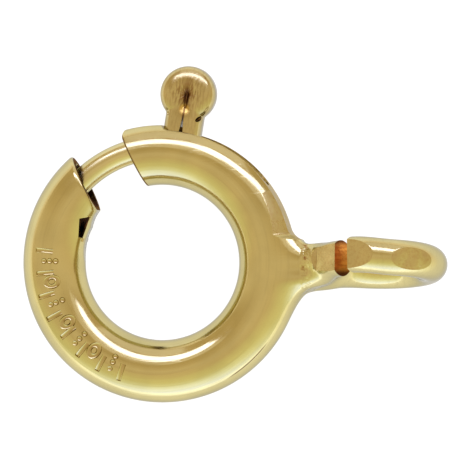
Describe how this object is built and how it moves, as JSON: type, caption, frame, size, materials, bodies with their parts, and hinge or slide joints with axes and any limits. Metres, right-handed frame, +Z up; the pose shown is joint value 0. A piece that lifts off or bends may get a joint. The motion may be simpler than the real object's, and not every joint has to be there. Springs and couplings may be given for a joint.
{
  "type": "spring ring clasp",
  "caption": "Round hollow spring ring clasp with a sliding bolt, a thumbnail pin and a soldered open end ring, lying as on a table.",
  "frame": {"origin": "middle of the main ring's eye", "axes": "+X towards the end ring, +Y towards the pin's side of the ring, +Z up from the surface that the clasp lies on; the main ring's plane leans 6.8 degrees about Y, so that its end-ring side is raised"},
  "size_m": [0.0091, 0.0072, 0.0029],
  "materials": {
    "gold_shell": "polished yellow gold plate, lightly scratched",
    "gold_bolt": "polished yellow gold plate",
    "gold_pin": "tumbled yellow gold plate",
    "spring_wire": "drawn spring steel"
  },
  "bodies": {
    "ring": {"ring_body": "gold_shell", "spring": "spring_wire"},
    "slider": {"bolt": "gold_bolt", "pin": "gold_pin"}
  },
  "joints": [
    {"name": "bolt_slide", "type": "hinge", "parent": "ring", "child": "slider", "pos_m": [0, 0, 0], "axis": [-0.118, 0, 0.993], "range_deg": [-36.49, 0], "stiffness_Nm_per_rad": 0.0038, "deforming": ["spring"]}
  ]
}
